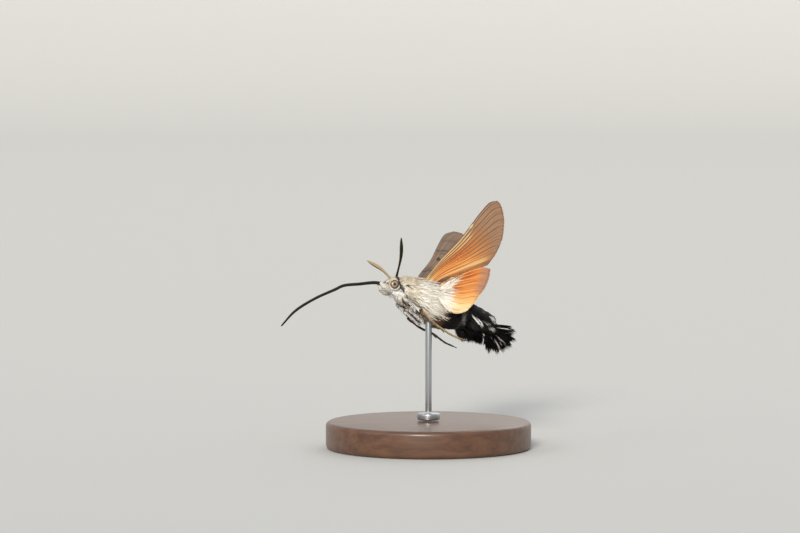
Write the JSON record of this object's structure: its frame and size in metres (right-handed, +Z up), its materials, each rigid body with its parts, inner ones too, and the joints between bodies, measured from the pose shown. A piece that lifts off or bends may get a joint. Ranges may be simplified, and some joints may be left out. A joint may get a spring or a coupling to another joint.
{
  "type": "hummingbird hawk moth model on a stand",
  "caption": "Life-size hummingbird hawk moth hovering with raised wings and long uncoiled tongue, on a thin rod over a round wooden base.",
  "frame": {"origin": "centre of the underside of the stand's round base", "axes": "+Z up; the moth's head points mostly to -X, its left side mostly to -Y, its tail to +X"},
  "size_m": [0.0459, 0.0412, 0.0452],
  "materials": {
    "grey_fur": "short grey-brown fur and scales",
    "black_fur": "black fur and scales with white tufts",
    "pale_scales": "cream-white scales",
    "eye": "glossy compound eye",
    "horn": "dark, slightly glossy horn of tongue and antennae",
    "leg_scales": "close-lying scales, cream and black-brown",
    "forewing_scales": "grey-brown and orange wing scales with raised veins",
    "hindwing_scales": "bright orange wing scales with raised veins",
    "walnut": "satin varnish",
    "stand_steel": "fine brushed"
  },
  "bodies": {
    "root": {"thorax": "grey_fur", "abdomen_front": "grey_fur", "abdomen_middle": "black_fur", "abdomen_rear": "black_fur", "tail_brush": "black_fur", "head": "grey_fur", "proboscis_base": "horn", "proboscis_middle": "horn", "proboscis_tip": "horn", "eye_left": "eye", "eye_right": "eye", "palp_left": "pale_scales", "palp_right": "pale_scales", "antenna_left": "horn", "antenna_right": "horn", "foreleg_left": "leg_scales", "foreleg_right": "leg_scales", "midleg_left": "leg_scales", "midleg_right": "leg_scales", "hindleg_left": "leg_scales", "hindleg_right": "leg_scales", "forewing_left": "forewing_scales", "forewing_right": "forewing_scales", "hindwing_left": "hindwing_scales", "hindwing_right": "hindwing_scales", "stand_base": "walnut", "stand_collar": "stand_steel", "stand_rod": "stand_steel"}
  },
  "joints": []
}
